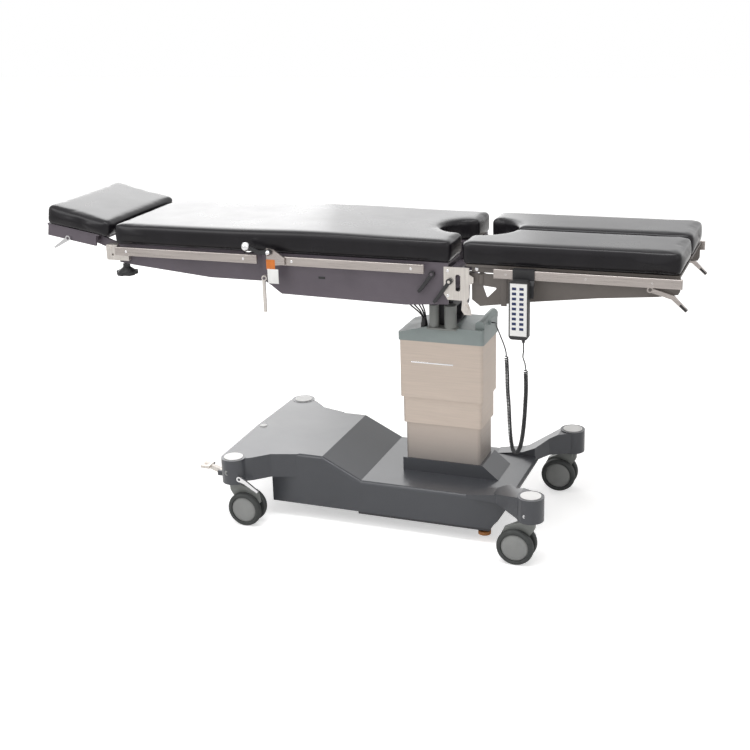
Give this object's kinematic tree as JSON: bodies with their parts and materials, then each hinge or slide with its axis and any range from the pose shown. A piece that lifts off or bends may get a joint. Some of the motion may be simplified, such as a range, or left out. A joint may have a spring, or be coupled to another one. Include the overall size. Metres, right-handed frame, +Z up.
{
  "type": "operating table",
  "caption": "Mobile operating table with padded head, back, seat and split leg sections on a telescoping tilting column over a wheeled base with floor locks",
  "frame": {"origin": "on the floor, under the middle of the table's outline", "axes": "+Z up, +X towards the foot end, -Y the patient's right, the side that carries the handset"},
  "size_m": [2.2693, 0.7178, 1.1095],
  "materials": {
    "cushion": "soft satin polyurethane cover",
    "stainless": "brushed",
    "frame_paint": "satin powder coat",
    "leg_paint": "satin powder coat",
    "base_shell": "gloss gel coat",
    "column_steel": "vertical brushed",
    "cap_paint": "satin",
    "dark_plastic": "matte",
    "steel_dark": "satin",
    "chrome": "polished",
    "tyre": "moulded",
    "handset_white": "gloss",
    "cord_black": "matte",
    "plate_steel": "satin",
    "motor_grey": "satin"
  },
  "bodies": {
    "base": {"base_cover": "base_shell", "base_plate": "plate_steel", "corner_discs": "handset_white", "column_cover_lower": "column_steel", "lift_cylinder": "plate_steel"},
    "floor_locks": {"lock_feet": "stainless"},
    "swivel_head_right": {"caster_fork_head_right": "steel_dark"},
    "swivel_head_left": {"caster_fork_head_left": "steel_dark"},
    "swivel_foot_right": {"caster_fork_foot_right": "steel_dark"},
    "swivel_foot_left": {"caster_fork_foot_left": "steel_dark"},
    "wheel_head_right": {"caster_wheel_head_right": "tyre"},
    "wheel_head_left": {"caster_wheel_head_left": "tyre"},
    "wheel_foot_right": {"caster_wheel_foot_right": "tyre"},
    "wheel_foot_left": {"caster_wheel_foot_left": "tyre"},
    "pedal": {"brake_pedal": "steel_dark"},
    "brake_lever": {"caster_brake_lever": "chrome"},
    "column_middle": {"column_cover_middle": "column_steel"},
    "column_head": {"column_cover_upper": "column_steel", "column_cap": "cap_paint", "lift_ram": "chrome", "head_yoke": "steel_dark", "tilt_motors": "motor_grey", "cable_gland": "dark_plastic", "cable_bundle": "cord_black"},
    "cross_block": {"cardan_block": "steel_dark"},
    "seat": {"seat_frame": "frame_paint", "seat_pad": "cushion", "pad_fold": "cushion", "seat_rails": "stainless", "leg_hinge_brackets": "stainless"},
    "lever_a_right": {"clamp_lever_a_right": "dark_plastic"},
    "lever_a_left": {"clamp_lever_a_left": "dark_plastic"},
    "lever_b_right": {"clamp_lever_b_right": "dark_plastic"},
    "lever_b_left": {"clamp_lever_b_left": "dark_plastic"},
    "back_release": {"back_release_lever": "dark_plastic"},
    "drop_handle": {"drop_lever": "stainless"},
    "back": {"back_frame": "frame_paint", "back_pad": "cushion", "back_rails": "stainless", "head_clamps": "stainless"},
    "knob_right": {"star_knob_right": "dark_plastic"},
    "knob_left": {"star_knob_left": "dark_plastic"},
    "head": {"head_frame": "frame_paint", "head_pad": "cushion"},
    "head_release": {"head_lever": "chrome"},
    "yoke_right": {"leg_yoke_right": "leg_paint"},
    "yoke_left": {"leg_yoke_left": "leg_paint"},
    "leg_right": {"leg_frame_right": "leg_paint", "leg_pad_right": "cushion", "leg_rail_right": "stainless"},
    "leg_left": {"leg_frame_left": "leg_paint", "leg_pad_left": "cushion", "leg_rail_left": "stainless"},
    "leg_release_right": {"leg_lever_right": "dark_plastic"},
    "leg_release_left": {"leg_lever_left": "dark_plastic"},
    "handset": {"handset_shell": "dark_plastic", "handset_keypad": "handset_white", "cord_tail": "cord_black", "cord_coil": "cord_black", "cord_lead": "cord_black"}
  },
  "joints": [
    {"name": "floor_lock_travel", "type": "slide", "parent": "base", "child": "floor_locks", "axis": [0, 0, 1], "range_m": [-0.025, 0]},
    {"name": "swivel_head_right", "type": "hinge", "parent": "base", "child": "swivel_head_right", "pos_m": [-0.391, -0.315, 0], "axis": [0, 0, 1], "continuous": true},
    {"name": "roll_head_right", "type": "hinge", "parent": "swivel_head_right", "child": "wheel_head_right", "pos_m": [-0.346, -0.315, 0.0625], "axis": [0, 1, 0], "continuous": true},
    {"name": "swivel_head_left", "type": "hinge", "parent": "base", "child": "swivel_head_left", "pos_m": [-0.391, 0.315, 0], "axis": [0, 0, 1], "continuous": true},
    {"name": "roll_head_left", "type": "hinge", "parent": "swivel_head_left", "child": "wheel_head_left", "pos_m": [-0.346, 0.315, 0.0625], "axis": [0, 1, 0], "continuous": true},
    {"name": "swivel_foot_right", "type": "hinge", "parent": "base", "child": "swivel_foot_right", "pos_m": [0.683, -0.315, 0], "axis": [0, 0, 1], "continuous": true},
    {"name": "roll_foot_right", "type": "hinge", "parent": "swivel_foot_right", "child": "wheel_foot_right", "pos_m": [0.638, -0.315, 0.0625], "axis": [0, 1, 0], "continuous": true},
    {"name": "swivel_foot_left", "type": "hinge", "parent": "base", "child": "swivel_foot_left", "pos_m": [0.683, 0.315, 0], "axis": [0, 0, 1], "continuous": true},
    {"name": "roll_foot_left", "type": "hinge", "parent": "swivel_foot_left", "child": "wheel_foot_left", "pos_m": [0.638, 0.315, 0.0625], "axis": [0, 1, 0], "continuous": true},
    {"name": "brake_pedal_tilt", "type": "hinge", "parent": "base", "child": "pedal", "pos_m": [-0.448, -0.3, 0.181], "axis": [0, 1, 0], "range_deg": [-14, 14]},
    {"name": "brake_lever_swing", "type": "hinge", "parent": "base", "child": "brake_lever", "pos_m": [-0.353, -0.354, 0.182], "axis": [0, 1, 0], "range_deg": [-25, 0]},
    {"name": "column_lift", "type": "slide", "parent": "base", "child": "column_head", "axis": [0, 0, 1], "range_m": [-0.225, 0.1], "deforming": ["cord_tail", "cord_coil", "cord_lead"]},
    {"name": "column_middle_lift", "type": "slide", "parent": "base", "child": "column_middle", "axis": [0, 0, 1], "range_m": [-0.1125, 0.05]},
    {"name": "longitudinal_tilt", "type": "hinge", "parent": "column_head", "child": "cross_block", "pos_m": [0.31, 0, 0.8], "axis": [0, -1, 0], "range_deg": [-25, 25], "deforming": ["cord_tail", "cord_coil", "cord_lead", "cable_bundle"]},
    {"name": "lateral_tilt", "type": "hinge", "parent": "cross_block", "child": "seat", "pos_m": [0.31, 0, 0.8], "axis": [1, 0, 0], "range_deg": [-20, 20], "deforming": ["cord_tail", "cord_coil", "cord_lead", "cable_bundle"]},
    {"name": "lever_a_right_swing", "type": "hinge", "parent": "seat", "child": "lever_a_right", "pos_m": [0.334, -0.245, 0.942], "axis": [0, 1, 0], "range_deg": [0, 40]},
    {"name": "lever_a_left_swing", "type": "hinge", "parent": "seat", "child": "lever_a_left", "pos_m": [0.334, 0.245, 0.942], "axis": [0, 1, 0], "range_deg": [0, 40]},
    {"name": "lever_b_right_swing", "type": "hinge", "parent": "seat", "child": "lever_b_right", "pos_m": [0.392, -0.245, 0.921], "axis": [0, 1, 0], "range_deg": [-45, 0]},
    {"name": "lever_b_left_swing", "type": "hinge", "parent": "seat", "child": "lever_b_left", "pos_m": [0.392, 0.245, 0.921], "axis": [0, 1, 0], "range_deg": [-45, 0]},
    {"name": "back_release_turn", "type": "hinge", "parent": "seat", "child": "back_release", "pos_m": [-0.227, -0.281, 0.992], "axis": [0, 1, 0], "range_deg": [-30, 30]},
    {"name": "drop_handle_swing", "type": "hinge", "parent": "seat", "child": "drop_handle", "pos_m": [-0.263, -0.243, 0.893], "axis": [0, 1, 0], "range_deg": [-30, 30]},
    {"name": "back_tilt", "type": "hinge", "parent": "seat", "child": "back", "pos_m": [-0.25, 0, 0.945], "axis": [0, 1, 0], "range_deg": [-30, 75], "deforming": ["pad_fold"]},
    {"name": "knob_right_turn", "type": "hinge", "parent": "back", "child": "knob_right", "pos_m": [-0.82, -0.22, 0.868], "axis": [0, 0, 1], "continuous": true},
    {"name": "knob_left_turn", "type": "hinge", "parent": "back", "child": "knob_left", "pos_m": [-0.82, 0.22, 0.868], "axis": [0, 0, 1], "continuous": true},
    {"name": "head_tilt", "type": "hinge", "parent": "back", "child": "head", "pos_m": [-0.872, 0, 0.966], "axis": [0, 1, 0], "range_deg": [-99, 5]},
    {"name": "head_release_swing", "type": "hinge", "parent": "head", "child": "head_release", "pos_m": [-1.04188, -0.241, 0.99291], "axis": [0, 1, 0], "range_deg": [-15, 15]},
    {"name": "leg_pitch_right", "type": "hinge", "parent": "seat", "child": "yoke_right", "pos_m": [0.452, -0.215, 0.93], "axis": [0, 1, 0], "range_deg": [-10, 90], "deforming": ["cord_tail", "cord_coil", "cord_lead"]},
    {"name": "leg_spread_right", "type": "hinge", "parent": "yoke_right", "child": "leg_right", "pos_m": [0.492, -0.215, 0.93], "axis": [0, 0, -1], "range_deg": [0, 90], "deforming": ["cord_tail", "cord_coil", "cord_lead"]},
    {"name": "leg_release_right_swing", "type": "hinge", "parent": "leg_right", "child": "leg_release_right", "pos_m": [1.023, -0.231, 0.932], "axis": [0, 1, 0], "range_deg": [-12, 12]},
    {"name": "leg_pitch_left", "type": "hinge", "parent": "seat", "child": "yoke_left", "pos_m": [0.452, 0.215, 0.93], "axis": [0, 1, 0], "range_deg": [-10, 90]},
    {"name": "leg_spread_left", "type": "hinge", "parent": "yoke_left", "child": "leg_left", "pos_m": [0.492, 0.215, 0.93], "axis": [0, 0, 1], "range_deg": [0, 90]},
    {"name": "leg_release_left_swing", "type": "hinge", "parent": "leg_left", "child": "leg_release_left", "pos_m": [1.023, 0.231, 0.932], "axis": [0, 1, 0], "range_deg": [-12, 12]},
    {"name": "handset_shift", "type": "slide", "parent": "leg_right", "child": "handset", "axis": [1, 0, 0], "range_m": [-0.04, 0.16], "deforming": ["cord_tail", "cord_coil", "cord_lead"]}
  ],
  "couplings": [
    {"joint": "column_middle_lift", "follows": "column_lift", "ratio": 0.5}
  ]
}
